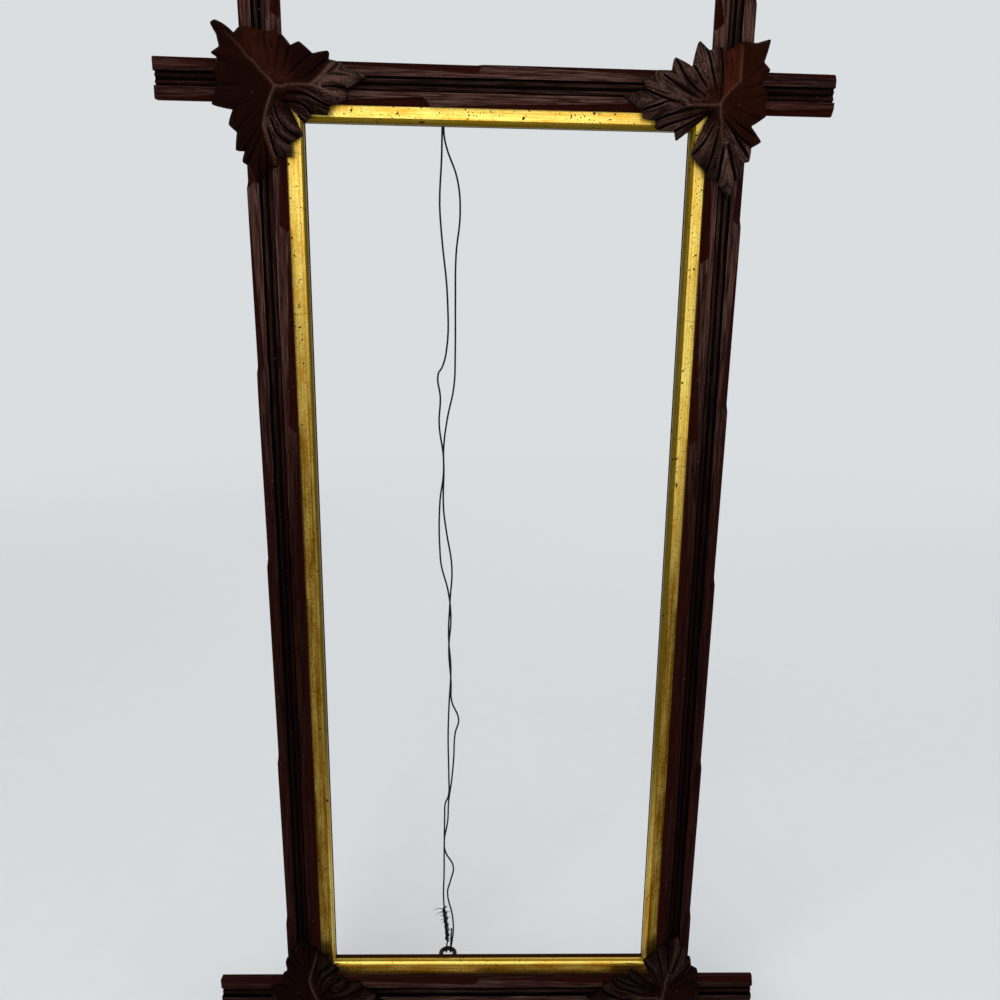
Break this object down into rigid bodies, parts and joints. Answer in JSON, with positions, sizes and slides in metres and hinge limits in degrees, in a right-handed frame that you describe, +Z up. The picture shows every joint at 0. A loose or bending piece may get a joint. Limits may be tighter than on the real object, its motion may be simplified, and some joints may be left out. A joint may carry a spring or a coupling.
{
  "type": "cross-corner picture frame",
  "caption": "Tall walnut picture frame with bars half-lapped past the corners, chip-carved edges, a carved leaf on each crossing, a gilt liner, screw eyes and a slack hanging wire.",
  "frame": {"origin": "middle of the box of the rigid pieces, on the ground under the lower ends of the two stiles", "axes": "+X to the right as seen from the front, +Y from the front to the back, +Z up along the stiles"},
  "size_m": [0.351, 0.0492, 0.6685],
  "materials": {
    "walnut": "dark red-brown varnish, worn grey on the edges",
    "leaf_walnut": "part varnished red-brown, part dull grey-brown",
    "gilt_pine": "gold leaf, rubbed and speckled",
    "dark_iron": "browned iron",
    "dark_wire": "dark brown annealed wire"
  },
  "bodies": {
    "root": {"stile_left": "walnut", "stile_right": "walnut", "rail_top": "walnut", "rail_bottom": "walnut", "leaf_top_left": "leaf_walnut", "leaf_top_right": "leaf_walnut", "leaf_bottom_left": "leaf_walnut", "leaf_bottom_right": "leaf_walnut", "liner_left": "gilt_pine", "liner_right": "gilt_pine", "liner_top": "gilt_pine", "liner_bottom": "gilt_pine", "screw_eye_top": "dark_iron", "screw_eye_bottom": "dark_iron", "hanging_wire": "dark_wire", "lap_nails": "dark_iron", "leaf_brads": "dark_iron", "liner_brads": "dark_iron"}
  },
  "joints": []
}
